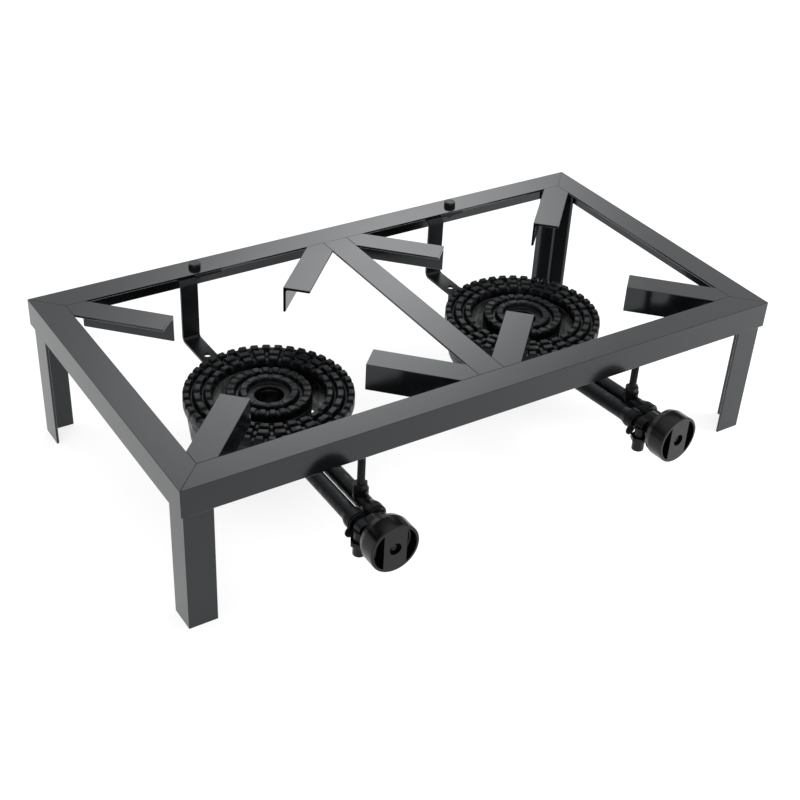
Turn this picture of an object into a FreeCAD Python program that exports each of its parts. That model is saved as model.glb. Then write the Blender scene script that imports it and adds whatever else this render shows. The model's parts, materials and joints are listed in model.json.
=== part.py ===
import FreeCAD, Part
import math
import os

# Two-burner gas boiling table. Millimetres, +Z up, +X along the front, -Y towards the user.
# Everything is drawn with the origin on the floor below the middle of the frame, and the whole
# table is then moved so that the origin is below the middle of its outer box.

V = FreeCAD.Vector
X_AXIS = V(1, 0, 0)
Y_AXIS = V(0, 1, 0)
Z_AXIS = V(0, 0, 1)

# ---- frame of angle iron ----
frame_length = 700.0
frame_depth = 370.0
frame_height = 165.0
angle_width = 30.0        # width of both flanges of the rails
angle_wall = 3.0
root_fillet = 3.0         # inside corner of the rolled angle
toe_round = 1.5           # inner edge of each flange tip
centre_bar_width = 30.0
leg_width = 30.0
rest_width = 30.0
rest_tip_reach = 106.0    # from the burner axis to the cut end of a pot rest

# ---- cast burner, all radii from its own axis ----
burner_top = 104.0
cap_seat = 92.0           # height of the joint between the casting and its two ring caps
bowl_bottom = 48.0
bowl_radius = 87.0
bowl_draft = 5.0          # how much narrower the bowl is at its foot
cast_wall = 4.0
cast_fillet = 5.0
gap_outer_radius = 58.0   # open air gap between the two rings
gap_inner_radius = 45.0
centre_hole_radius = 15.0
inner_bowl_bottom = 50.0
web_width = 9.0
web_angles = (172.0, 36.0, -102.0)
ring_overhang = 2.0       # the outer cap stands proud of the casting's wall
cap_skirt = 1.2           # how far its edge hangs over that wall
cap_floor = 6.0           # metal left in the grooves between the ridges
cap_lip = 4.0             # depth of the locating lip inside the trough
cap_fit = 0.3
ridge_taper = 1.2          # run of each ridge's sloping side
outer_ridges = ((0.08, 0.22), (0.44, 0.61), (0.81, 0.96))   # as fractions of the ring's width
inner_ridges = ((0.29, 0.46), (0.74, 0.94))
outer_slot_count = 42
inner_slot_count = 24
slot_width = 4.2
outer_slot_depth = 3.4
inner_slot_depth = 1.6
burner_turn = {"left": 0.0, "right": 5.5}   # each burner as it sits in its bay, degrees
burner_shift = {"left": (1.0, 0.0), "right": (-5.0, 4.0)}   # and its axis off the bay's middle

# ---- mixing tubes ----
tube_height = 73.0        # axis above the floor
tube_spacing = 21.0
tube_radius = 8.5
tube_bore = 6.0
tube_proud = 13.0         # how far the mouths stand out in front of the frame
bell_radius = 11.0
bell_length = 16.0
bell_bore = 8.6
spider_thickness = 3.0
spider_hub_radius = 5.4
window_angle = 84.0       # each of the two air windows

# ---- back bracket and its fastenings ----
back_lug_angle = 100.5
back_lug_radius = 10.5
lug_bolt_gap = 2.5        # between the outer cap and the head of the lug bolt
back_lug_thickness = 7.0
strap_width = 20.0
strap_thickness = 3.0
strap_bend = 4.0          # inside radius of both bends
strap_rail_gap = 3.0      # the upright stands this far inside the rail's flange
strap_skirt_gap = 0.3     # the level leg passes just under the outer cap's edge
foot_length = 52.0
foot_slot_start = 13.0
foot_slot_end = 33.0
foot_back_gap = 0.5
spare_hole_radius = 3.8
spare_hole_step = 14.0
m6_shank = 3.0
m6_head_radius = 5.5
m6_head_height = 4.0
m6_nut_height = 5.0
m8_shank = 4.0
m8_head_radius = 7.4
m8_head_height = 5.3
m8_nut_height = 6.5
bolt_clearance = 0.3
bolt_tail = 2.0

# ---- front hanger ----
hanger_set_back = 17.0    # rod behind the front of the frame
front_boss_radius = 8.0
front_boss_rise = 13.0    # above the tube axis
hanger_engagement = 5.5

# ---- gas tap ----
seat_gap = 0.15           # either side of an air shutter
shutter_thickness = 1.5
shutter_radius = 10.0
shutter_tab_reach = 17.5
shutter_tab_width = 12.0
shutter_tab_angles = (225.0, 315.0)   # inner ring's shutter, outer ring's shutter
injector_shoulder = 4.2
injector_neck_radius = 4.0
injector_tip_radius = 1.6
injector_tip_length = 9.0
injector_orifice = 0.8
knob_screw_shank = 1.5
knob_screw_head = 2.2
injector_hex_radius = 6.4
injector_thread_depth = 6.0
running_fit = 0.06
seat_fit = 0.05
tap_length = 17.5
tap_branch_radius = 8.0
tap_branch_length = 10.0
tap_barrel_radius = 12.0
tap_nose_radius = 10.0
tap_nose_length = 5.0
plug_back_radius = 5.6
plug_front_radius = 7.2
plug_length = 12.0
washer_height = 1.0
washer_wall = 0.5
gland_flats = 25.0
gland_face = 3.0
stem_radius = 3.5
stem_flat = 1.0           # depth of the flat that drives the knob
knob_gap = 1.0
knob_radius = 26.5
knob_depth = 24.0
knob_edge = 1.2
knob_skirt_round = 6.0
knob_rim = 3.0
knob_bar_width = 25.0
knob_bar_taper = 1.5      # the bar is this much wider at the foot on either side
knob_pocket_depth = 10.0
knob_pocket_round = 3.0
knob_recess_radius = 6.5
knob_recess_depth = 5.0
knob_socket_depth = 11.0
inlet_offset = 15.0
inlet_boss_radius = 6.0
inlet_boss_length = 11.0
union_flats = 17.0
union_hex_height = 5.0
union_thread_radius = 6.58
union_thread_length = 12.0
union_spigot_radius = 4.5
union_spigot_length = 7.0
union_bore = 3.2

# ---- places worked out from the sizes above ----
bay_half_length = (frame_length / 2 - angle_width - centre_bar_width / 2) / 2
bay_half_depth = frame_depth / 2 - angle_width
bay_centre = centre_bar_width / 2 + bay_half_length
flange_under = frame_height - angle_wall
back_lug_reach = bowl_radius + ring_overhang + lug_bolt_gap + m6_head_radius
tube_reach = frame_depth / 2 + tube_proud
shutter_back = tube_reach + seat_gap
shoulder_back = shutter_back + shutter_thickness + seat_gap
tap_back = shoulder_back + injector_shoulder
tap_front = tap_back + tap_length
plug_back = tap_front - washer_height - plug_length
knob_back = tap_front + gland_face + knob_gap
knob_front = knob_back + knob_depth
stem_end = knob_back + knob_socket_depth
hanger_reach = frame_depth / 2 - hanger_set_back
front_boss_top = tube_height + front_boss_rise
hanger_low = front_boss_top - hanger_engagement
strap_shelf_top = cap_seat - cap_skirt - strap_skirt_gap
SIDES = {"left": -1, "right": 1}
LONG = 1000.0             # longer than anything it cuts

pieces = {}


# ---- small geometry helpers ----
def rounded_outline(corners):
    """Closed wire through (x, z, radius) corners in the XZ plane; radius 0 keeps a corner sharp."""
    count = len(corners)
    edges = []
    starts = []
    ends = []
    arcs = []
    for index in range(count):
        x, z, radius = corners[index]
        here = V(x, 0, z)
        before = V(corners[index - 1][0], 0, corners[index - 1][1])
        after = V(corners[(index + 1) % count][0], 0, corners[(index + 1) % count][1])
        to_before = (before - here).normalize()
        to_after = (after - here).normalize()
        half = to_before.getAngle(to_after) / 2
        if radius == 0:
            starts.append(here)
            ends.append(here)
            arcs.append(None)
            continue
        trim = radius / math.tan(half)
        middle = (to_before + to_after).normalize()
        centre = here + middle * (radius / math.sin(half))
        starts.append(here + to_before * trim)
        ends.append(here + to_after * trim)
        arcs.append(centre - middle * radius)
    for index in range(count):
        if arcs[index] is not None:
            edges.append(Part.Arc(starts[index], arcs[index], ends[index]).toShape())
        following = starts[(index + 1) % count]
        if ends[index].distanceToPoint(following) > 1e-6:
            edges.append(Part.LineSegment(ends[index], following).toShape())
    return Part.Wire(edges)


def revolved(corners):
    """Solid of revolution about Z from (radius, height, corner radius) corners."""
    return Part.Face(rounded_outline(corners)).revolve(V(0, 0, 0), Z_AXIS, 360)


def extruded(corners, length):
    """Prism from (x, z, corner radius) corners, running from y = 0 to y = length."""
    return Part.Face(rounded_outline(corners)).extrude(V(0, length, 0))


def rod(radius, low, high, x=0.0, y=0.0):
    """Upright cylinder between two heights."""
    return Part.makeCylinder(radius, high - low, V(x, y, low), Z_AXIS)


def block(x_low, x_high, y_low, y_high, z_low, z_high):
    """Box between two corners."""
    return Part.makeBox(x_high - x_low, y_high - y_low, z_high - z_low, V(x_low, y_low, z_low))


def hexagon(radius, low, high, x=0.0, y=0.0, turn=0.0):
    """Upright hexagonal prism; radius is to its corners."""
    points = []
    for step in range(7):
        angle = math.radians(turn + 60 * step)
        points.append(V(x + radius * math.cos(angle), y + radius * math.sin(angle), low))
    return Part.Face(Part.makePolygon(points)).extrude(V(0, 0, high - low))


def joined(shapes):
    """One solid out of overlapping ones."""
    return shapes[0].multiFuse(shapes[1:]).removeSplitter()


def turned(shape, degrees):
    """Copy turned about the Z axis."""
    copy = shape.copy()
    copy.rotate(V(0, 0, 0), Z_AXIS, degrees)
    return copy


def moved(shape, x=0.0, y=0.0, z=0.0):
    """Copy moved by the given steps."""
    copy = shape.copy()
    copy.translate(V(x, y, z))
    return copy


def facing_front(shape, x=0.0):
    """Take a shape drawn upright about Z and lay it along -Y at the height of the tubes."""
    copy = shape.copy()
    copy.rotate(V(0, 0, 0), X_AXIS, 90)
    copy.translate(V(x, 0, tube_height))
    return copy


def in_bay(shape, side):
    """Put a piece drawn about the burner axis into its bay, with that burner's turn and shift."""
    shift_x, shift_y = burner_shift[side]
    return moved(turned(shape, burner_turn[side]), x=SIDES[side] * bay_centre + shift_x, y=shift_y)


def point_in_bay(x, y, side):
    """Where a point drawn about the burner axis comes to lie in its bay."""
    angle = math.radians(burner_turn[side])
    shift_x, shift_y = burner_shift[side]
    placed_x = x * math.cos(angle) - y * math.sin(angle)
    placed_y = x * math.sin(angle) + y * math.cos(angle)
    return placed_x + SIDES[side] * bay_centre + shift_x, placed_y + shift_y


# ---- frame ----
def angle_bar(length, width):
    """Angle iron along +Y: corner line on the Y axis, flat flange towards +X, upright one down."""
    corners = [
        (0, 0, 0),
        (width, 0, 0),
        (width, -angle_wall, toe_round),
        (angle_wall, -angle_wall, root_fillet),
        (angle_wall, -width, toe_round),
        (0, -width, 0),
    ]
    return extruded(corners, length)


def mitred_rail(length):
    """Rail of the rectangle, both ends cut at 45 degrees in plan."""
    bar = angle_bar(length, angle_width)
    plan = [
        V(0, 0, 0),
        V(0, length, 0),
        V(angle_width, length - angle_width, 0),
        V(angle_width, angle_width, 0),
        V(0, 0, 0),
    ]
    return bar.common(Part.Face(Part.makePolygon(plan)).extrude(V(0, 0, -angle_width)))


def make_rails():
    """Four mitred rails round the outside."""
    side_rail = moved(mitred_rail(frame_depth), y=-frame_depth / 2)
    pieces["left_rail"] = moved(side_rail, x=-frame_length / 2, z=frame_height)
    pieces["right_rail"] = moved(turned(side_rail, 180), x=frame_length / 2, z=frame_height)
    long_rail = turned(moved(mitred_rail(frame_length), y=-frame_length / 2), 90)
    pieces["front_rail"] = moved(long_rail, y=-frame_depth / 2, z=frame_height)
    pieces["back_rail"] = moved(turned(long_rail, 180), y=frame_depth / 2, z=frame_height)


def make_centre_bar():
    """Angle between the bays, coped so that its upright runs under the rails' flat flanges."""
    inside_length = frame_depth - 2 * angle_wall
    bar = moved(angle_bar(inside_length, centre_bar_width), y=-inside_length / 2)
    cope_depth = angle_wall + root_fillet
    for end in (-1, 1):
        edge = sorted((end * bay_half_depth, end * frame_depth / 2))
        cope = block(-centre_bar_width, 2 * centre_bar_width, edge[0], edge[1], -cope_depth, 1)
        bar = bar.cut(cope)
    pieces["centre_bar"] = moved(turned(bar, 180), x=centre_bar_width / 2, z=frame_height)


def make_legs():
    """Four angle legs standing inside the corners of the rails, plain cut at the foot."""
    corners = [
        (0, 0, 0),
        (leg_width, 0, 0),
        (leg_width, angle_wall, toe_round),
        (angle_wall, angle_wall, root_fillet),
        (angle_wall, leg_width, toe_round),
        (0, leg_width, 0),
    ]
    leg_top = flange_under - root_fillet
    leg = extruded(corners, leg_top)
    leg.rotate(V(0, 0, 0), X_AXIS, 90)
    leg = leg.mirror(V(0, 0, 0), Y_AXIS)
    leg = moved(leg, x=-frame_length / 2 + angle_wall, y=-frame_depth / 2 + angle_wall)
    for depth_name, depth_sign in (("front", 1), ("back", -1)):
        for side, side_sign in (("left", 1), ("right", -1)):
            placed = leg.copy()
            if side_sign < 0:
                placed = placed.mirror(V(0, 0, 0), X_AXIS)
            if depth_sign < 0:
                placed = placed.mirror(V(0, 0, 0), Y_AXIS)
            pieces[depth_name + "_" + side + "_leg"] = placed


def make_pot_rests():
    """Eight angle fingers from the corners of each bay towards its burner, square at the tip."""
    aim = math.degrees(math.atan2(bay_half_depth, bay_half_length))
    corner_reach = math.hypot(bay_half_depth, bay_half_length) + rest_width
    bar = angle_bar(corner_reach - rest_tip_reach, rest_width)
    bar = moved(bar.mirror(V(0, 0, 0), X_AXIS), x=rest_width / 2, y=-corner_reach)
    rest = moved(turned(bar, aim - 90), z=frame_height)
    bay = block(-bay_half_length, bay_half_length, -bay_half_depth, bay_half_depth, 0, frame_height)
    rest = rest.common(bay)
    for side, sign in SIDES.items():
        for depth_name, depth_sign in (("front", 1), ("back", -1)):
            for end_name, end_sign in (("left", 1), ("right", -1)):
                placed = rest.copy()
                if end_sign < 0:
                    placed = placed.mirror(V(0, 0, 0), X_AXIS)
                if depth_sign < 0:
                    placed = placed.mirror(V(0, 0, 0), Y_AXIS)
                name = side + "_bay_" + depth_name + "_" + end_name + "_rest"
                pieces[name] = moved(placed, x=sign * bay_centre)


# ---- burner casting ----
def outer_trough():
    """Deep tapering gas trough of the outer ring, open at the top."""
    foot = bowl_radius - bowl_draft
    inner_foot = gap_outer_radius + bowl_draft / 2
    corners = [
        (bowl_radius, cap_seat, 0),
        (foot, bowl_bottom, cast_fillet),
        (inner_foot, bowl_bottom, cast_fillet),
        (gap_outer_radius, cap_seat, 0),
        (gap_outer_radius + cast_wall, cap_seat, 0),
        (inner_foot + cast_wall, bowl_bottom + cast_wall, cast_fillet / 2),
        (foot - cast_wall, bowl_bottom + cast_wall, cast_fillet / 2),
        (bowl_radius - cast_wall, cap_seat, 0),
    ]
    return revolved(corners)


def inner_trough():
    """Shallower gas trough of the inner ring, round an open centre."""
    foot = gap_inner_radius - bowl_draft / 2
    corners = [
        (gap_inner_radius, cap_seat, 0),
        (foot, inner_bowl_bottom, cast_fillet),
        (centre_hole_radius, inner_bowl_bottom, cast_fillet / 2),
        (centre_hole_radius, cap_seat, 0),
        (centre_hole_radius + cast_wall, cap_seat, 0),
        (centre_hole_radius + cast_wall, inner_bowl_bottom + cast_wall, cast_fillet / 2),
        (foot - cast_wall, inner_bowl_bottom + cast_wall, cast_fillet / 2),
        (gap_inner_radius - cast_wall, cap_seat, 0),
    ]
    return revolved(corners)


def ring_web(angle):
    """Radial web that carries the inner trough from the outer one."""
    low = inner_bowl_bottom + cast_wall
    start = gap_inner_radius - cast_wall / 2
    end = gap_outer_radius + cast_wall / 2
    return turned(block(start, end, -web_width / 2, web_width / 2, low, cap_seat), angle)


def mixing_tube(x, inner_end):
    """Cast tube along -Y with a bell mouth."""
    corners = [
        (0, inner_end, 0),
        (tube_radius, inner_end, 0),
        (tube_radius, tube_reach - bell_length, cast_fillet),
        (bell_radius, tube_reach - bell_length / 2, cast_fillet),
        (bell_radius, tube_reach, 0),
        (0, tube_reach, 0),
    ]
    return facing_front(revolved(corners), x)


def mixing_bore(x, inner_end):
    """Throat of a mixing tube, widening into the bell behind the spider."""
    bell_end = tube_reach - spider_thickness
    corners = [
        (0, inner_end, 0),
        (tube_bore, inner_end, 0),
        (tube_bore, tube_reach - bell_length, 0),
        (bell_bore, tube_reach - bell_length / 2, 0),
        (bell_bore, bell_end, 0),
        (0, bell_end, 0),
    ]
    return facing_front(revolved(corners), x)


def air_windows(low, high):
    """Two opposite sector openings between a hub and the bore of the bell, drawn about Z."""
    windows = []
    for start in (-window_angle / 2, 180 - window_angle / 2):
        ring = Part.makeCylinder(bell_bore, high - low, V(0, 0, low), Z_AXIS, window_angle)
        ring.rotate(V(0, 0, 0), Z_AXIS, start)
        windows.append(ring.cut(rod(spider_hub_radius, low - 1, high + 1)))
    return windows


def front_boss():
    """Round boss on one of the tubes, threaded for the hanger rod."""
    return rod(front_boss_radius, tube_height, front_boss_top, tube_spacing / 2, -hanger_reach)


def back_lug():
    """Ear on the back of the bowl that takes the strap's bolt."""
    high = strap_shelf_top - strap_thickness
    low = high - back_lug_thickness
    start = bowl_radius - cast_wall
    ear = joined([
        block(start, back_lug_reach, -back_lug_radius, back_lug_radius, low, high),
        rod(back_lug_radius, low, high, x=back_lug_reach),
    ])
    return turned(ear, back_lug_angle)


def make_burner_casting():
    """Bowl, webs, ears and the two mixing tubes in one casting."""
    inner_end = gap_inner_radius - bowl_draft
    outer_end = bowl_radius - bowl_draft / 2 - cast_wall
    left_x = -tube_spacing / 2
    right_x = tube_spacing / 2
    solids = [outer_trough(), inner_trough(), back_lug(), front_boss()]
    solids += [ring_web(angle) for angle in web_angles]
    solids += [mixing_tube(left_x, inner_end), mixing_tube(right_x, outer_end)]
    casting = joined(solids)
    cuts = [mixing_bore(left_x, inner_end - cast_wall), mixing_bore(right_x, outer_end - cast_wall)]
    for x in (left_x, right_x):
        cuts.append(facing_front(rod(injector_neck_radius + seat_fit, tube_reach - 5, tube_reach + 1), x))
        for window in air_windows(tube_reach - spider_thickness - 1, tube_reach + 1):
            cuts.append(facing_front(window, x))
    bolt_x = back_lug_reach * math.cos(math.radians(back_lug_angle))
    bolt_y = back_lug_reach * math.sin(math.radians(back_lug_angle))
    cuts.append(rod(m6_shank + bolt_clearance, bowl_bottom, cap_seat, bolt_x, bolt_y))
    cuts.append(rod(m8_shank + seat_fit, hanger_low, frame_height, tube_spacing / 2, -hanger_reach))
    return casting.cut(cuts)


# ---- ring caps ----
def ridged_profile(inner, outer, ridges, skirt):
    """Section of a ring cap: a floor with raised ridges and grooves between them."""
    floor_top = cap_seat + cap_floor
    corners = [(inner, cap_seat, 0), (inner, floor_top, 0)]
    for low, high in ridges:
        start = inner + low * (outer - inner)
        end = inner + high * (outer - inner)
        corners.append((start - ridge_taper, floor_top, 0))
        corners.append((start, burner_top, 0))
        corners.append((end, burner_top, 0))
        corners.append((end + ridge_taper, floor_top, 0))
    corners.pop()
    corners.append((outer, floor_top, 0))
    corners.append((outer, cap_seat - skirt, 0))
    if skirt > 0:
        corners.append((outer - ring_overhang + cap_fit, cap_seat - skirt, 0))
        corners.append((outer - ring_overhang + cap_fit, cap_seat, 0))
    return corners


def radial_slots(count, depth, start, end):
    """Ports cut across the ridges, all round."""
    high = burner_top + 1
    slot = block(start, end, -slot_width / 2, slot_width / 2, burner_top - depth, high)
    return [turned(slot, 360 * index / count) for index in range(count)]


def locating_lip(radius):
    """Ring under a cap that drops into the trough."""
    low = cap_seat - cap_lip
    return rod(radius + cast_wall / 2, low, cap_seat).cut(rod(radius, low, cap_seat))


def make_outer_cap():
    """Toothed ring over the outer trough, with three ridges."""
    outer = bowl_radius + ring_overhang
    inner = gap_outer_radius
    cap = revolved(ridged_profile(inner, outer, outer_ridges, cap_skirt))
    cap = cap.fuse(locating_lip(gap_outer_radius + cast_wall + cap_fit))
    slots = radial_slots(outer_slot_count, outer_slot_depth, inner - 1, outer + 1)
    return cap.cut(slots).removeSplitter()


def make_inner_cap():
    """Toothed ring over the inner trough, with two ridges round the centre hole."""
    outer = gap_inner_radius
    inner = centre_hole_radius
    cap = revolved(ridged_profile(inner, outer, inner_ridges, 0))
    cap = cap.fuse(locating_lip(centre_hole_radius + cast_wall + cap_fit))
    slots = radial_slots(inner_slot_count, inner_slot_depth, inner - 1, outer + 1)
    return cap.cut(slots).removeSplitter()


# ---- back strap ----
def make_back_strap(lug_y):
    """Flat bar bent twice: slotted foot under the rail, upright, level shelf to the burner."""
    rail_edge = bay_half_depth
    upright_front = rail_edge - strap_rail_gap - strap_thickness
    foot_end = frame_depth / 2 - angle_wall - root_fillet - foot_back_gap
    shelf_end = lug_y - strap_width / 2
    outside = strap_bend + strap_thickness
    top = flange_under
    shelf_low = strap_shelf_top - strap_thickness
    corners = [
        (foot_end, top, 0),
        (upright_front, top, outside),
        (upright_front, strap_shelf_top, strap_bend),
        (shelf_end, strap_shelf_top, 0),
        (shelf_end, shelf_low, 0),
        (upright_front + strap_thickness, shelf_low, outside),
        (upright_front + strap_thickness, top - strap_thickness, strap_bend),
        (foot_end, top - strap_thickness, 0),
    ]
    strip = extruded(corners, strap_width)
    strip.rotate(V(0, 0, 0), Z_AXIS, 90)
    strip = moved(strip, x=strap_width / 2)
    wing_low = upright_front + outside
    wing = block(0, foot_length - strap_width / 2, wing_low, foot_end, top - strap_thickness, top)
    strap = strip.fuse(wing).removeSplitter()
    slot_half = m8_shank + bolt_clearance
    slot_y = frame_depth / 2 - angle_width / 2
    slot = joined([
        block(foot_slot_start, foot_slot_end, slot_y - slot_half, slot_y + slot_half, 0, frame_height),
        rod(slot_half, 0, frame_height, foot_slot_start, slot_y),
        rod(slot_half, 0, frame_height, foot_slot_end, slot_y),
    ])
    bolt_hole = rod(m6_shank + bolt_clearance, 0, frame_height, 0, lug_y)
    spare_hole = rod(spare_hole_radius, 0, strap_shelf_top, 0, lug_y + spare_hole_step)
    tip_round = rod(LONG, 0, frame_height, 0, lug_y).cut(rod(strap_width / 2, 0, frame_height, 0, lug_y))
    tip_round = tip_round.common(block(-LONG, LONG, -LONG, lug_y, 0, frame_height))
    return strap.cut([slot, bolt_hole, spare_hole, tip_round])


def hex_bolt(head_radius, head_height, shank, tail_end, seat, x, y):
    """Bolt with its hexagon head standing on a seat and its shank going down."""
    head = hexagon(head_radius, seat, seat + head_height, x, y)
    crown = rod(head_radius, seat, seat + head_height, x, y)
    dome = Part.makeCone(head_radius * 1.25, head_radius * 0.8, head_height, V(x, y, seat), Z_AXIS)
    return head.common(crown).common(dome).fuse(rod(shank, tail_end, seat, x, y))


def hex_nut(radius, height, bore, low, x, y):
    """Plain nut; its bore is the bolt's shank plus the seat fit."""
    return hexagon(radius, low, low + height, x, y).cut(rod(bore + seat_fit, low, low + height, x, y))


# ---- gas tap ----
def make_tap_body():
    """Double-outlet tap: barrel with a taper seat, two outlet branches and the inlet boss."""
    half = tube_spacing / 2
    branch_front = tap_back + tap_branch_length
    nose_back = tap_front - tap_nose_length
    body = joined([
        rod(tap_branch_radius, tap_back, branch_front, -half),
        rod(tap_branch_radius, tap_back, branch_front, half),
        block(-half, half, -tap_branch_radius, tap_branch_radius, tap_back, branch_front),
        rod(tap_barrel_radius, tap_back + 2, nose_back),
        rod(tap_nose_radius, nose_back, tap_front),
    ])
    boss = Part.makeCylinder(inlet_boss_radius, inlet_boss_length, V(0, 0, 0), V(0, -1, 0))
    boss_middle = tap_back + inlet_boss_radius
    body = body.fuse(moved(boss, x=-inlet_offset, z=boss_middle)).removeSplitter()
    seat = Part.makeCone(plug_back_radius + seat_fit, plug_front_radius + seat_fit, plug_length,
                         V(0, 0, plug_back), Z_AXIS)
    mouth = rod(plug_front_radius + seat_fit, tap_front - washer_height, tap_front)
    spigot = Part.makeCylinder(union_spigot_radius + seat_fit, union_spigot_length,
                               V(-inlet_offset, -inlet_boss_length, boss_middle), Y_AXIS)
    cuts = [seat, mouth, spigot]
    for x in (-half, half):
        cuts.append(rod(injector_neck_radius + seat_fit, tap_back, tap_back + injector_thread_depth, x))
    return facing_front(body.cut(cuts))


def make_valve_plug():
    """Taper plug and its stem, with a flat that drives the knob."""
    taper_end = plug_back + plug_length
    corners = [
        (0, plug_back, 0),
        (plug_back_radius, plug_back, 0),
        (plug_front_radius, taper_end, 0),
        (stem_radius, taper_end, 0),
        (stem_radius, stem_end, 0.4),
        (0, stem_end, 0),
    ]
    plug = revolved(corners)
    flat = block(-LONG, LONG, stem_radius - stem_flat, LONG, knob_back, stem_end)
    return facing_front(plug.cut(flat))


def make_spring_washer():
    """Coned spring washer that presses the plug into its seat."""
    low = tap_front - washer_height
    high = tap_front - seat_fit
    inner = stem_radius + seat_fit
    corners = [
        (plug_front_radius - washer_wall, low, 0),
        (plug_front_radius, low + washer_wall, 0),
        (inner + washer_wall, high, 0),
        (inner, high, 0),
        (inner, high - washer_wall, 0),
    ]
    return facing_front(revolved(corners))


def make_gland_nut():
    """Hexagon cap screwed on the tap's nose, holding the plug and passing its stem."""
    low = tap_front - tap_nose_length + seat_gap
    high = tap_front + gland_face
    corner_radius = gland_flats / math.sqrt(3)
    nut = hexagon(corner_radius, low, high)
    bevel = Part.makeCone(corner_radius * 1.3, gland_flats / 2, high - low, V(0, 0, low), Z_AXIS)
    cavity = rod(tap_nose_radius + seat_fit, low, tap_front)
    hole = rod(stem_radius + running_fit, low, high)
    return facing_front(nut.common(bevel).cut([cavity, hole]))


def make_injectors():
    """Two screwed jets, one for each mixing tube."""
    tip_start = tube_reach - spider_thickness - injector_tip_length
    cone_end = tip_start + injector_tip_length / 2
    thread_end = tap_back + injector_thread_depth
    corners = [
        (injector_orifice, tip_start, 0),
        (injector_tip_radius, tip_start, 0),
        (injector_neck_radius, cone_end, 0),
        (injector_neck_radius, thread_end, 0),
        (injector_orifice, thread_end, 0),
    ]
    jet = revolved(corners)
    collar = hexagon(injector_hex_radius, shoulder_back, tap_back).cut(rod(injector_orifice, 0, LONG))
    jet = jet.fuse(collar).removeSplitter()
    return Part.makeCompound([facing_front(jet, x) for x in (-tube_spacing / 2, tube_spacing / 2)])


def make_air_shutter(x, tab_angle):
    """Thin disc with a finger tab that turns on the injector's neck to open or close the windows."""
    low = shutter_back
    high = shutter_back + shutter_thickness
    tip = shutter_tab_reach - shutter_tab_width / 2
    tab = block(0, tip, -shutter_tab_width / 2, shutter_tab_width / 2, low, high)
    tab = tab.fuse(rod(shutter_tab_width / 2, low, high, x=tip))
    disc = rod(shutter_radius, low, high).fuse(turned(tab, tab_angle)).removeSplitter()
    disc = disc.cut(rod(injector_neck_radius + running_fit, low, high))
    return facing_front(disc.cut(air_windows(low, high)), x)


def knob_pocket():
    """One of the two hollows for the fingers, between the grip bar and the rim."""
    floor = knob_front - knob_pocket_depth
    over = knob_front + 1
    round_part = revolved([
        (0, floor, 0),
        (knob_radius - knob_rim, floor, knob_pocket_round),
        (knob_radius - knob_rim, over, 0),
        (0, over, 0),
    ])
    beside_bar = extruded([
        (knob_bar_width / 2, over, 0),
        (knob_bar_width / 2 + knob_bar_taper, floor, knob_pocket_round),
        (knob_radius, floor, 0),
        (knob_radius, over, 0),
    ], 2 * knob_radius)
    return round_part.common(moved(beside_bar, y=-knob_radius))


def make_knob():
    """Round knob with a full rim and an upright grip bar between two finger pockets."""
    corners = [
        (0, knob_back, 0),
        (knob_radius - knob_skirt_round / 3, knob_back, 0),
        (knob_radius, knob_back + knob_skirt_round, knob_skirt_round),
        (knob_radius, knob_front, knob_edge),
        (0, knob_front, 0),
    ]
    knob = revolved(corners)
    cuts = [knob_pocket(), turned(knob_pocket(), 180)]
    cuts.append(rod(knob_recess_radius, knob_front - knob_recess_depth, knob_front + 1))
    socket = rod(stem_radius + seat_fit, knob_back, stem_end + seat_fit)
    flat_low = stem_radius + seat_fit - stem_flat
    socket = socket.cut(block(-LONG, LONG, flat_low, LONG, knob_back, stem_end + 1))
    cuts.append(socket)
    cuts.append(rod(knob_screw_shank + seat_fit, stem_end, knob_front))
    return facing_front(knob.cut(cuts))


def make_knob_screw():
    """Pan-head screw in the knob's recess, reaching the end of the stem."""
    seat = knob_front - knob_recess_depth
    top = seat + knob_screw_head
    head = rod(2 * knob_screw_shank, seat, top)
    head = head.cut(block(-LONG, LONG, -0.4, 0.4, top - knob_screw_head / 2, top))
    return facing_front(head.fuse(rod(knob_screw_shank, stem_end, seat)).removeSplitter())


def make_inlet_union():
    """Hexagon union with a plain threaded end pointing down, where the gas hose screws on."""
    top = -inlet_boss_length
    hex_low = top - union_hex_height
    thread_low = hex_low - union_thread_length
    spigot_top = top + union_spigot_length
    union = joined([
        hexagon(union_flats / math.sqrt(3), hex_low, top),
        rod(union_thread_radius, thread_low, hex_low),
        rod(union_spigot_radius, top, spigot_top),
    ]).cut(rod(union_bore, thread_low, spigot_top))
    return moved(union, x=-inlet_offset, y=-(tap_back + inlet_boss_radius), z=tube_height)


def make_hanger_rod():
    """Rod welded under the flat flange of the front rail and screwed into the front boss."""
    return rod(m8_shank, hanger_low, flange_under)


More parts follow.
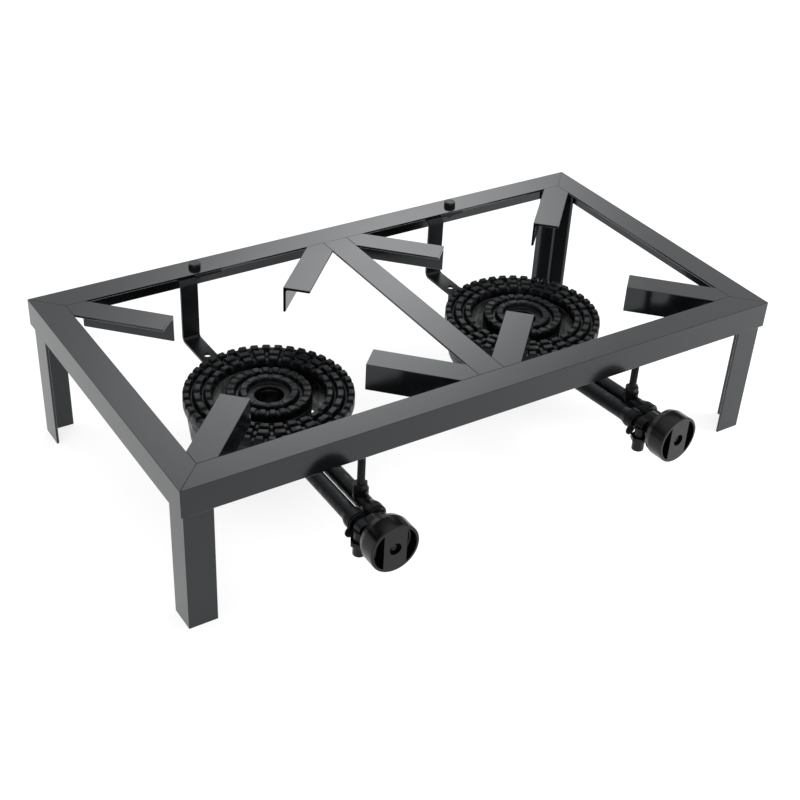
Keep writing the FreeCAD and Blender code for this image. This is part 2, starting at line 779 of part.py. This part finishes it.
def make_burners():
    """Both burners with their taps, straps, hangers and fastenings."""
    strap_bolts = []
    strap_nuts = []
    lug_bolts = []
    lug_nuts = []
    hanger_nuts = []
    rail_bolt_y = frame_depth / 2 - angle_width / 2
    shelf_low = strap_shelf_top - strap_thickness
    lug_low = shelf_low - back_lug_thickness
    nut_low = flange_under - strap_thickness - m8_nut_height
    casting = make_burner_casting()
    outer_cap = make_outer_cap()
    inner_cap = make_inner_cap()
    for side, sign in SIDES.items():
        pieces[side + "_burner_casting"] = in_bay(casting, side)
        pieces[side + "_outer_ring_cap"] = in_bay(outer_cap, side)
        pieces[side + "_inner_ring_cap"] = in_bay(inner_cap, side)
        pieces[side + "_tap_body"] = in_bay(make_tap_body(), side)
        pieces[side + "_valve_plug"] = in_bay(make_valve_plug(), side)
        pieces[side + "_spring_washer"] = in_bay(make_spring_washer(), side)
        pieces[side + "_gland_nut"] = in_bay(make_gland_nut(), side)
        pieces[side + "_injectors"] = in_bay(make_injectors(), side)
        inner_tab, outer_tab = shutter_tab_angles
        inner_shutter = make_air_shutter(-tube_spacing / 2, inner_tab)
        outer_shutter = make_air_shutter(tube_spacing / 2, outer_tab)
        pieces[side + "_inner_ring_air_shutter"] = in_bay(inner_shutter, side)
        pieces[side + "_outer_ring_air_shutter"] = in_bay(outer_shutter, side)
        pieces[side + "_knob"] = in_bay(make_knob(), side)
        pieces[side + "_knob_screw"] = in_bay(make_knob_screw(), side)
        pieces[side + "_inlet_union"] = in_bay(make_inlet_union(), side)
        lug_angle = math.radians(back_lug_angle)
        lug_x = back_lug_reach * math.cos(lug_angle)
        lug_y = back_lug_reach * math.sin(lug_angle)
        lug_x, lug_y = point_in_bay(lug_x, lug_y, side)
        pieces[side + "_back_strap"] = moved(make_back_strap(lug_y), x=lug_x)
        hanger_x, hanger_y = point_in_bay(tube_spacing / 2, -hanger_reach, side)
        pieces[side + "_hanger_rod"] = moved(make_hanger_rod(), x=hanger_x, y=hanger_y)
        rail_bolt_x = sign * bay_centre
        strap_bolts.append(hex_bolt(m8_head_radius, m8_head_height, m8_shank, nut_low - bolt_tail,
                                    frame_height, rail_bolt_x, rail_bolt_y))
        strap_nuts.append(hex_nut(m8_head_radius, m8_nut_height, m8_shank, nut_low,
                                  rail_bolt_x, rail_bolt_y))
        lug_bolts.append(hex_bolt(m6_head_radius, m6_head_height, m6_shank,
                                  lug_low - m6_nut_height - bolt_tail, strap_shelf_top, lug_x, lug_y))
        lug_nuts.append(hex_nut(m6_head_radius, m6_nut_height, m6_shank, lug_low - m6_nut_height,
                                lug_x, lug_y))
        hanger_nuts.append(hex_nut(m8_head_radius, m8_nut_height, m8_shank,
                                   front_boss_top, hanger_x, hanger_y))
        hole = rod(m8_shank + bolt_clearance, 0, frame_height + 1, rail_bolt_x, rail_bolt_y)
        pieces["back_rail"] = pieces["back_rail"].cut(hole)
    pieces["strap_bolts"] = Part.makeCompound(strap_bolts)
    pieces["strap_nuts"] = Part.makeCompound(strap_nuts)
    pieces["lug_bolts"] = Part.makeCompound(lug_bolts)
    pieces["lug_nuts"] = Part.makeCompound(lug_nuts)
    pieces["hanger_nuts"] = Part.makeCompound(hanger_nuts)


def write_parts():
    """Centre the table over the origin and write one file for each piece."""
    os.makedirs("parts", exist_ok=True)
    whole = Part.makeCompound(list(pieces.values())).BoundBox
    for name, shape in pieces.items():
        placed = moved(shape, x=-whole.Center.x, y=-whole.Center.y)
        placed.exportStep("parts/" + name + ".step")
    print("pieces", len(pieces), "moved by", round(-whole.Center.x, 4), round(-whole.Center.y, 4))


make_rails()
make_centre_bar()
make_legs()
make_pot_rests()
make_burners()
write_parts()
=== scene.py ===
import json
import math

import bmesh
import bpy
import numpy as np
from mathutils import Matrix, Vector


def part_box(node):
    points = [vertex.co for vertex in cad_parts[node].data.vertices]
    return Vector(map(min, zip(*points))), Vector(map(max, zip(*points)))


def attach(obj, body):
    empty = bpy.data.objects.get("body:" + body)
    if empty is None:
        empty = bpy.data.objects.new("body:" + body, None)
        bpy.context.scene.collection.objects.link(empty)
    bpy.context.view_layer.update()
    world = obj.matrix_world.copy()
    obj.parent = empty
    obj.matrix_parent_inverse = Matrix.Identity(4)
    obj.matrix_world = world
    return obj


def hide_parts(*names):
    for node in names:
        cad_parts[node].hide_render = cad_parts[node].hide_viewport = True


# Looks of a two-burner gas boiling table: black enamelled angle iron, sand-cast burners, black
# taps and moulded knobs. Lengths are in millimetres until they reach a mesh, which is in metres.

MM = 0.001
SIDES = ("left", "right")
LEGS = ("front_left_leg", "front_right_leg", "back_left_leg", "back_right_leg")

# ---- camera, fitted to the photograph ----
camera_from_stand = (-722.461, -1066.536, 907.177)   # from the floor below the stand's middle
camera_azimuth = -34.936
camera_elevation = 35.630
camera_roll = 3.801
camera_lens = 62.544
camera_sensor = 36.0
camera_shift = (-0.02, 0.05)

# ---- stage; lengths in metres, strengths and greys where 1 is white ----
white = (1.0, 1.0, 1.0, 1.0)
floor_reach = 8.0
floor_grey = "#e0e0e0"              # throws light back on the object
floor_faint = (0.3, 0.3, 0.3, 1.0)  # share of the seen floor that takes shadows
floor_glow = 0.78                   # share of the seen floor that doesn't
high_softbox_place = (1.22, 2.0, 1.45)
high_softbox_size = (3.6, 1.6)
high_softbox_turn = 36.9
high_softbox_strength = 2.4
right_softbox_place = (1.1, -0.7, 0.6)
right_softbox_aim = (0.55, -0.38, 0.0)
right_softbox_size = (0.9, 0.9)
right_softbox_spread = 70.0
right_softbox_strength = 8.0

# ---- broken edges, by material slot ----
edge_rounds = {"frame_paint": 0.45, "bracket_paint": 0.45, "fastener_steel": 0.4, "knob_plastic": 0.9,
               "tap_paint": 0.5}
sharp_edge = math.radians(32)
flat_face = math.radians(0.5)
same_point = 0.002
closed_pole = 0.001

# ---- thread of the hanger rods ----
thread_pitch = 1.25
thread_depth = 0.6
thread_length = 42.0
thread_end = 1.0
rows_per_pitch = 8
rod_sides = 40

# ---- weld beads at the legs ----
bead_radius = 1.5
bead_ripple = 2.6
bead_swell = 0.14
bead_sides = 12
bead_off_corner = 0.7
bead_from_edge = (2.0, 28.0)

# ---- ring caps; a ridge is (start, end, teeth, slot width, slot depth), its place in shares ----
burner_turn = {"left": 0.0, "right": 5.5}
outer_cap_sizes = {"inner": 58.0, "skirt": 1.2, "columns": 1008,
                   "ridges": ((0.08, 0.24, 28, 4.2, 2.6), (0.43, 0.61, 28, 4.8, 3.0),
                              (0.80, 0.97, 42, 4.4, 3.4))}
inner_cap_sizes = {"inner": 15.0, "skirt": 0.0, "columns": 576,
                   "ridges": ((0.29, 0.48, 12, 3.0, 0.8), (0.72, 0.94, 24, 3.4, 1.6))}
cap_seat = 92.0
cap_floor_top = 98.0
cap_wall = 1.7
cap_land = 2.0
cap_edge_round = 1.3
cap_rows = 64
skirt_chamfer = 0.4
ridge_flank = 2.4
slot_flank = 1.9


# ---------------------------------------------------------------- finishes
cool = {"Specular Tint": (0.88, 0.95, 1.0, 1.0)}   # black paint shines slightly cool


def hex_colour(code):
    """sRGB hex to the linear colour that a socket takes."""
    channels = [int(code[index:index + 2], 16) / 255 for index in (1, 3, 5)]
    linear = [c / 12.92 if c <= 0.04045 else ((c + 0.055) / 1.055) ** 2.4 for c in channels]
    return (*linear, 1.0)


def per_mm(size):
    """Scale of a noise whose features are that many millimetres across."""
    return 1 / (size * MM)


def add(tree, kind, values=None, links=None):
    """Adds a node. values are its settings or its sockets' own values, and links are
    socket: (node, output)."""
    made = tree.nodes.new(kind)
    for key, value in (values or {}).items():
        if isinstance(key, int) or key in made.inputs:
            made.inputs[key].default_value = value
        else:
            setattr(made, key, value)
    for key, (source, output) in (links or {}).items():
        tree.links.new(source.outputs[output], made.inputs[key])
    return made


def new_material(name):
    """Empty material with its tree and output."""
    material = bpy.data.materials.new(name)
    material.use_nodes = True
    tree = material.node_tree
    tree.nodes.clear()
    return material, tree, add(tree, "ShaderNodeOutputMaterial")


def grained_surface(name, dark, light, patch_size, rough_low, rough_high, relief, shader_values):
    """Opaque surface: two close colours in soft patches, roughness in the same patches, and layers of
    relief given as (feature size, depth, detail), all in millimetres."""
    material, tree, output = new_material(name)
    place = add(tree, "ShaderNodeTexCoord")
    patches = add(tree, "ShaderNodeTexNoise", {"Scale": per_mm(patch_size), "Detail": 3.0},
                  {"Vector": (place, "Object")})
    tone = add(tree, "ShaderNodeMix", {"data_type": "RGBA", 6: hex_colour(dark), 7: hex_colour(light)},
               {0: (patches, "Fac")})
    gloss = add(tree, "ShaderNodeMapRange",
                {"From Min": 0.3, "From Max": 0.7, "To Min": rough_low, "To Max": rough_high},
                {"Value": (patches, "Fac")})
    links = {"Base Color": (tone, 2), "Roughness": (gloss, "Result")}
    raised = None
    for feature, depth, detail in relief:
        grain = add(tree, "ShaderNodeTexNoise", {"Scale": per_mm(feature), "Detail": detail},
                    {"Vector": (place, "Object")})
        bump_links = {"Height": (grain, "Fac")}
        if raised is not None:
            bump_links["Normal"] = (raised, "Normal")
        raised = add(tree, "ShaderNodeBump", {"Strength": 1.0, "Distance": depth * MM}, bump_links)
    if raised is not None:
        links["Normal"] = (raised, "Normal")
    shader = add(tree, "ShaderNodeBsdfPrincipled", shader_values, links)
    tree.links.new(shader.outputs["BSDF"], output.inputs["Surface"])
    return material


def stove_enamel():
    """Black stoved enamel dipped over mill-finished angle iron: a wet, slightly wavy black that mirrors
    the soft light, with faint orange peel."""
    return grained_surface("black_stove_enamel", "#090a0b", "#0e1011", 60.0, 0.09, 0.15,
                           [(22.0, 0.05, 2.0), (2.4, 0.005, 1.0)], {"IOR": 1.5, **cool})


def burner_iron():
    """Sand-cast grey iron blacked with stove paint: coarse grain that breaks the light into small
    glints along the ridges."""
    return grained_surface("blacked_sand_cast_iron", "#020203", "#070709", 9.0, 0.20, 0.55,
                           [(7.0, 0.45, 2.0), (1.5, 0.20, 3.0)],
                           {"Specular IOR Level": 0.20, **cool})


def bracket_paint():
    """Brushed black paint on bent flat bar: duller than the stand, with soft brush waves."""
    return grained_surface("brushed_black_paint", "#08090a", "#101213", 30.0, 0.28, 0.40,
                           [(12.0, 0.08, 2.0), (1.8, 0.02, 1.0)],
                           {"Specular IOR Level": 0.25, **cool})


def tap_paint():
    """Black paint over a cast tap body: small casting grain under a semi-gloss skin."""
    return grained_surface("painted_tap_casting", "#040405", "#0a0a0b", 12.0, 0.26, 0.40,
                           [(4.0, 0.10, 2.0), (1.2, 0.04, 2.0)],
                           {"Specular IOR Level": 0.22, **cool})


def knob_phenolic():
    """Compression-moulded black phenolic: deep black with a polished skin and a slight ripple."""
    return grained_surface("moulded_black_phenolic", "#050506", "#09090b", 20.0, 0.18, 0.26,
                           [(9.0, 0.05, 1.0), (1.0, 0.006, 1.0)], {"Specular IOR Level": 0.28})


def jet_brass():
    """Turned brass: warm yellow metal with fine tool marks."""
    return grained_surface("turned_brass", "#a98445", "#c6a15a", 6.0, 0.24, 0.36,
                           [(0.8, 0.01, 1.0)], {"Metallic": 1.0})


def spring_steel():
    """Plain spring steel: grey metal with a dull polish."""
    return grained_surface("plain_spring_steel", "#85878a", "#a2a4a6", 6.0, 0.30, 0.40,
                           [(0.8, 0.01, 1.0)], {"Metallic": 1.0})


def shutter_steel():
    """Oil-blacked sheet steel: flat dark grey with a satin shine."""
    return grained_surface("oil_blacked_sheet_steel", "#08080a", "#111214", 8.0, 0.32, 0.44,
                           [(2.0, 0.02, 1.0)], {"Specular IOR Level": 0.3})


def fastener_steel():
    """Chemically blacked bolts and nuts: nearly black with a slight metallic edge."""
    return grained_surface("blacked_fasteners", "#08090a", "#121315", 5.0, 0.28, 0.42,
                           [(1.2, 0.03, 1.0)], {"Specular IOR Level": 0.3})


# ---------------------------------------------------------------- meshes
def grid_mesh(name, points, close_rows, close_columns):
    """Mesh over an array of points (rows, columns, 3) in millimetres; its faces are turned outwards by
    the sign of the enclosed volume."""
    rows, columns = points.shape[:2]
    row = np.arange(rows if close_rows else rows - 1)
    column = np.arange(columns if close_columns else columns - 1)
    row, column = np.meshgrid(row, column, indexing="ij")
    below = (row + 1) % rows
    beside = (column + 1) % columns
    quads = np.stack([row * columns + column, row * columns + beside,
                      below * columns + beside, below * columns + column], axis=-1).reshape(-1, 4)
    flat = points.reshape(-1, 3)
    centred = flat - flat.mean(axis=0)
    corners = centred[quads]
    halves = np.cross(corners[:, 2] - corners[:, 0], corners[:, 3] - corners[:, 1])
    if np.sum(corners.mean(axis=1) * halves) < 0:
        quads = quads[:, ::-1]
    mesh = bpy.data.meshes.new(name)
    mesh.from_pydata((flat * MM).tolist(), [], quads.tolist())
    mesh.polygons.foreach_set("use_smooth", np.ones(len(quads), bool))
    mesh.update()
    return mesh


def close_poles(mesh):
    """Merges the points that meet in a pole, in one pass."""
    shape = bmesh.new()
    shape.from_mesh(mesh)
    bmesh.ops.remove_doubles(shape, verts=shape.verts, dist=closed_pole * MM)
    shape.to_mesh(mesh)
    shape.free()


def place_piece(mesh, material, node, stands_for):
    """Object for a finished mesh, riding on the body of a CAD node and taking its material slot."""
    piece = bpy.data.objects.new(mesh.name, mesh)
    bpy.context.scene.collection.objects.link(piece)
    mesh.materials.append(material)
    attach(piece, body_of_node[node])
    if stands_for:
        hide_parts(node)
    return piece


def smooth_step(value):
    """0 below 0, 1 above 1, and an even S between."""
    clipped = np.clip(value, 0, 1)
    return clipped * clipped * (3 - 2 * clipped)


def box_of(node):
    """Lowest and highest corner of a CAD node, in millimetres."""
    low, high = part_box(node)
    return np.array(low) / MM, np.array(high) / MM


def node_centre(node):
    """Middle of a CAD node's box, in millimetres."""
    low, high = box_of(node)
    return (low + high) / 2


def round_radius(node):
    """Radius of a round upright node, from its box's longer side."""
    low, high = box_of(node)
    return max(high[0] - low[0], high[1] - low[1]) / 2


def stand_centre():
    """Middle between the front and back rail, in millimetres."""
    return (node_centre("front_rail") + node_centre("back_rail")) / 2


def ring_cap(side, which, sizes, material):
    """Toothed ring cap on a polar grid. Height over the floor is a row of smooth ridges across the
    radius, each lowered wherever the arc distance to the nearest of its own slots is less than half a
    slot, with both upper edges rounded by a quarter circle."""
    node = side + "_" + which + "_ring_cap"
    centre = node_centre(node)
    ridge_top = box_of(node)[1][2]
    inner, outer = sizes["inner"], round_radius(node)
    turns = np.arange(sizes["columns"]) / sizes["columns"]
    radius = np.linspace(inner, outer, cap_rows)[:, None]
    rise = np.zeros((cap_rows, sizes["columns"]))
    for start, end, teeth, slot_width, slot_depth in sizes["ridges"]:
        up = smooth_step((radius - inner - start * (outer - inner)) / ridge_flank + 1)
        down = smooth_step((inner + end * (outer - inner) - radius) / ridge_flank + 1)
        pitches = turns * teeth
        to_slot = np.abs(pitches - np.round(pitches)) * 2 * math.pi * radius / teeth
        tooth = smooth_step((to_slot - slot_width / 2) / slot_flank + 0.5)
        full = ridge_top - cap_floor_top - slot_depth * (1 - tooth)
        rise = np.maximum(rise, up * down * full)
    to_edge = np.minimum(radius - inner, outer - radius)
    short = np.clip(cap_edge_round - to_edge, 0, cap_edge_round)
    rounding = cap_edge_round - np.sqrt(cap_edge_round ** 2 - short ** 2)
    skirt_low = cap_seat - sizes["skirt"]
    inside = np.array([(inner, cap_seat), (inner, cap_seat + cap_land)])
    outside = np.array([(outer, cap_seat + cap_land), (outer, skirt_low + skirt_chamfer),
                        (outer - skirt_chamfer, skirt_low), (outer - cap_wall, skirt_low),
                        (outer - cap_wall, cap_seat)])
    radii = np.concatenate([inside[:, :1], radius, outside[:, :1]])
    heights = np.concatenate([inside[:, 1:] + 0 * rise[:1], cap_floor_top + rise - rounding,
                              outside[:, 1:] + 0 * rise[:1]])
    spin = 2 * math.pi * turns + math.radians(burner_turn[side])
    points = np.stack([centre[0] + radii * np.cos(spin), centre[1] + radii * np.sin(spin), heights],
                      axis=-1)
    return place_piece(grid_mesh(node + "_cast", points, True, True), material, node, True)


def threaded_rod(side, material):
    """Hanger rod: a cylinder whose lower end carries a 60-degree thread, a triangle wave along the
    height that is shifted by one pitch in each turn; both ends close to a point on the axis."""
    node = side + "_hanger_rod"
    low, high = box_of(node)
    centre = node_centre(node)
    thread_top = low[2] + thread_length
    threaded = np.arange(low[2], thread_top, thread_pitch / rows_per_pitch)
    height = np.concatenate([threaded, [thread_top + thread_end, high[2]]])[:, None]
    angle = np.linspace(0, 2 * math.pi, rod_sides, endpoint=False)
    phase = height / thread_pitch - angle / (2 * math.pi)
    wave = np.abs(2 * (phase - np.floor(phase)) - 1)
    fade = smooth_step((thread_top - height) / thread_pitch)
    pole = np.zeros((1, rod_sides))
    radius = np.concatenate([pole, round_radius(node) - thread_depth * wave * fade, pole])
    height = np.concatenate([[[low[2]]], height, [[high[2]]]])
    points = np.stack([centre[0] + radius * np.cos(angle), centre[1] + radius * np.sin(angle),
                       height + 0 * radius], axis=-1)
    mesh = grid_mesh(node + "_threaded", points, False, True)
    close_poles(mesh)
    return place_piece(mesh, material, node, True)


def weld_bead(name, start, end, node, material):
    """Weld bead along a level joint: a tube whose radius swells in even ripples, one for each dab of
    the rod, and closes to a point at both ends."""
    upward = np.array([0, 0, 1.0])
    length = np.linalg.norm(end - start)
    side_way = np.cross((end - start) / length, upward)
    travel = np.linspace(0, 1, 8 * int(length / bead_ripple) + 1)[:, None]
    ends = np.sqrt(np.clip(1 - (2 * np.abs(travel - 0.5)) ** 8, 0, 1))
    ripple = 1 + bead_swell * np.cos(2 * math.pi * travel * length / bead_ripple)
    radius = bead_radius * ends * ripple
    angle = np.linspace(0, 2 * math.pi, bead_sides, endpoint=False)
    points = (start + travel[:, :, None] * (end - start)
              + (radius * np.cos(angle))[:, :, None] * side_way
              + (radius * np.sin(angle))[:, :, None] * upward)
    mesh = grid_mesh(name, points, False, True)
    close_poles(mesh)
    return place_piece(mesh, material, node, False)


def leg_welds(leg, material):
    """Two beads, one along each outer face of a leg where it comes out from under the rails."""
    low, high = box_of(leg)
    middle = (low + high) / 2
    outward = np.sign(middle - stand_centre())
    corner = middle + outward * ((high - low) / 2 + bead_off_corner)
    corner[2] = box_of("front_rail")[0][2] - bead_off_corner
    for along in (0, 1):
        start, end = corner.copy(), corner.copy()
        start[along] -= outward[along] * bead_from_edge[0]
        end[along] -= outward[along] * bead_from_edge[1]
        weld_bead(leg + "_weld_" + "xy"[along], start, end, leg, material)


def broken_edges(node, material, width):
    """Copy of a CAD node with its flat faces whole again and its sharp edges rounded off. An edge stays
    sharp where a face beside it is too narrow for the rounding, as along a rolled toe."""
    mesh = frame["nodes"][node].data.copy()
    mesh.name = node + "_finished"
    mesh.materials.clear()
    if "custom_normal" in mesh.attributes:
        mesh.attributes.remove(mesh.attributes["custom_normal"])
    shape = bmesh.new()
    shape.from_mesh(mesh)
    bmesh.ops.remove_doubles(shape, verts=shape.verts, dist=same_point * MM)
    bmesh.ops.dissolve_limit(shape, angle_limit=flat_face, verts=shape.verts, edges=shape.edges)
    rounded = shape.edges.layers.float.new("bevel_weight_edge")
    for edge in shape.edges:
        if edge.calc_face_angle() > sharp_edge:
            narrowest = min(face.calc_area() for face in edge.link_faces) / edge.calc_length()
            edge.smooth = narrowest > 2 * width * MM
            edge[rounded] = float(edge.smooth)
    shape.to_mesh(mesh)
    shape.free()
    mesh.polygons.foreach_set("use_smooth", np.ones(len(mesh.polygons), bool))
    piece = place_piece(mesh, material, node, True)
    bevel = piece.modifiers.new("broken_edges", "BEVEL")
    bevel.width = width * MM
    bevel.segments = 2
    bevel.limit_method = "WEIGHT"
    bevel.harden_normals = True
    flat = piece.modifiers.new("flat_faces", "WEIGHTED_NORMAL")
    flat.weight = 100
    flat.keep_sharp = True
    return piece


# ---------------------------------------------------------------- stage
def make_camera():
    """Camera at the photograph's angle and framing, placed from the middle of the stand."""
    place = np.array(camera_from_stand) + stand_centre() * [1, 1, 0]
    azimuth = math.radians(camera_azimuth)
    elevation = math.radians(camera_elevation)
    roll = math.radians(camera_roll)
    back = Vector((math.sin(azimuth) * math.cos(elevation),
                   -math.cos(azimuth) * math.cos(elevation), math.sin(elevation)))
    level = Vector((0, 0, 1)).cross(back).normalized()
    upright = back.cross(level)
    right = math.cos(roll) * level + math.sin(roll) * upright
    up = math.cos(roll) * upright - math.sin(roll) * level
    data = bpy.data.cameras.new("photo_camera")
    data.lens = camera_lens
    data.sensor_width = camera_sensor
    data.shift_x, data.shift_y = camera_shift
    camera = bpy.data.objects.new("photo_camera", data)
    turn = Matrix((right, up, back)).transposed().to_4x4()
    camera.matrix_world = Matrix.Translation(Vector(place.tolist()) * MM) @ turn
    bpy.context.scene.collection.objects.link(camera)
    bpy.context.scene.camera = camera


def make_floor():
    """Pale floor that keeps the object's shadow; to the eye, in mirrors and through glass it is
    white."""
    material, tree, output = new_material("pale_floor")
    path = add(tree, "ShaderNodeLightPath")
    seen = add(tree, "ShaderNodeMath", {"operation": "MAXIMUM"},
               {0: (path, "Is Camera Ray"), 1: (path, "Is Glossy Ray")})
    direct = add(tree, "ShaderNodeMath", {"operation": "MAXIMUM"},
                 {0: (seen, 0), 1: (path, "Is Transmission Ray")})
    lit = add(tree, "ShaderNodeBsdfDiffuse", {"Color": hex_colour(floor_grey)})
    faint = add(tree, "ShaderNodeBsdfDiffuse", {"Color": floor_faint})
    glow = add(tree, "ShaderNodeEmission", {"Color": white, "Strength": floor_glow})
    pale = add(tree, "ShaderNodeAddShader", {}, {0: (faint, 0), 1: (glow, 0)})
    mixed = add(tree, "ShaderNodeMixShader", {}, {0: (direct, 0), 1: (lit, 0), 2: (pale, 0)})
    tree.links.new(mixed.outputs[0], output.inputs["Surface"])
    corners = [(x * floor_reach, y * floor_reach, 0) for x, y in ((-1, -1), (1, -1), (1, 1), (-1, 1))]
    mesh = bpy.data.meshes.new("floor")
    mesh.from_pydata(corners, [], [(0, 1, 2, 3)])
    mesh.materials.append(material)
    floor = bpy.data.objects.new("floor", mesh)
    bpy.context.scene.collection.objects.link(floor)


def make_world():
    """White surroundings at a plain level."""
    world = bpy.data.worlds.new("studio")
    world.use_nodes = True
    tree = world.node_tree
    tree.nodes.clear()
    studio = add(tree, "ShaderNodeBackground", {"Color": white, "Strength": 1.0})
    add(tree, "ShaderNodeOutputWorld", {}, {"Surface": (studio, 0)}).is_active_output = True
    bpy.context.scene.world = world


def softbox(name, place, aim, size, strength, turn=0.0, spread=180.0, mirrored=True):
    """Rectangular area lamp at a place, aimed at a point and turned about its axis. Its face fades from
    its middle to its edges, as a softbox does; strength is the brightness of the middle, spread the
    angle to which a grid in front of it narrows the light, and mirrored whether gloss shows it."""
    data = bpy.data.lights.new(name, "AREA")
    data.shape = "RECTANGLE"
    data.size, data.size_y = size
    data.energy = math.pi * size[0] * size[1]
    data.spread = math.radians(spread)
    data.use_nodes = True
    tree = data.node_tree
    tree.nodes.clear()
    face = add(tree, "ShaderNodeNewGeometry")
    centred = add(tree, "ShaderNodeMapping",
                  {"Location": (-1.0, -1.0, 0.0), "Scale": (2.0, 2.0, 0.0)},
                  {"Vector": (face, "Parametric")})
    fade = add(tree, "ShaderNodeTexGradient", {"gradient_type": "SPHERICAL"},
               {"Vector": (centred, 0)})
    soft = add(tree, "ShaderNodeMapRange",
               {"interpolation_type": "SMOOTHSTEP", "To Max": strength}, {"Value": (fade, "Fac")})
    glow = add(tree, "ShaderNodeEmission", {"Color": white}, {"Strength": (soft, "Result")})
    add(tree, "ShaderNodeOutputLight", {}, {"Surface": (glow, 0)})
    lamp = bpy.data.objects.new(name, data)
    facing = (Vector(aim) - Vector(place)).to_track_quat("-Z", "Y").to_matrix().to_4x4()
    turned = Matrix.Rotation(math.radians(turn), 4, "Z")
    lamp.matrix_world = Matrix.Translation(place) @ facing @ turned
    lamp.visible_camera = False
    lamp.visible_glossy = mirrored
    bpy.context.scene.collection.objects.link(lamp)


def make_lights():
    """Two softboxes: a long high one that the top faces mirror, and a low one for the floor on the
    right, which the front faces mirror."""
    below = (high_softbox_place[0], high_softbox_place[1], 0.0)
    softbox("high_softbox", high_softbox_place, below, high_softbox_size, high_softbox_strength,
            turn=high_softbox_turn)
    softbox("right_softbox", right_softbox_place, right_softbox_aim, right_softbox_size,
            right_softbox_strength, spread=right_softbox_spread, mirrored=False)


# ---------------------------------------------------------------- scene
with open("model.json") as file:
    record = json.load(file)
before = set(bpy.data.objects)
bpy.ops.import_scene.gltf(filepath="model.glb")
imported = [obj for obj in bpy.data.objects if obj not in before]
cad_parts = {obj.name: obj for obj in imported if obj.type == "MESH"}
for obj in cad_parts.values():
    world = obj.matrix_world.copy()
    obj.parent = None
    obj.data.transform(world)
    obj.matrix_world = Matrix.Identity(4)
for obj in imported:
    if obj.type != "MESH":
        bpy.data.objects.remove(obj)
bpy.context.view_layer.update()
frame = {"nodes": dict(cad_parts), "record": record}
bpy.context.scene.view_settings.view_transform = "Standard"
record = frame["record"]
bodies = record["behaviour"]["bodies"]
body_of_node = {node: body for body, nodes in bodies.items() for node in nodes}
slot_of_node = {entry["node"]: entry["material_slot"] for entry in record["subparts"]}
finishes = {
    "frame_paint": stove_enamel(),
    "burner_iron": burner_iron(),
    "bracket_paint": bracket_paint(),
    "tap_paint": tap_paint(),
    "knob_plastic": knob_phenolic(),
    "jet_brass": jet_brass(),
    "spring_steel": spring_steel(),
    "shutter_steel": shutter_steel(),
    "fastener_steel": fastener_steel(),
}

for node, slot in slot_of_node.items():
    if slot in edge_rounds and not node.endswith("hanger_rod"):
        broken_edges(node, finishes[slot], edge_rounds[slot])
    else:
        cad_piece = frame["nodes"][node]
        cad_piece.data.materials.clear()
        cad_piece.data.materials.append(finishes[slot])

for side in SIDES:
    ring_cap(side, "outer", outer_cap_sizes, finishes["burner_iron"])
    ring_cap(side, "inner", inner_cap_sizes, finishes["burner_iron"])
    threaded_rod(side, finishes["bracket_paint"])
for leg in LEGS:
    leg_welds(leg, finishes["frame_paint"])

make_floor()
make_world()
make_lights()
make_camera()
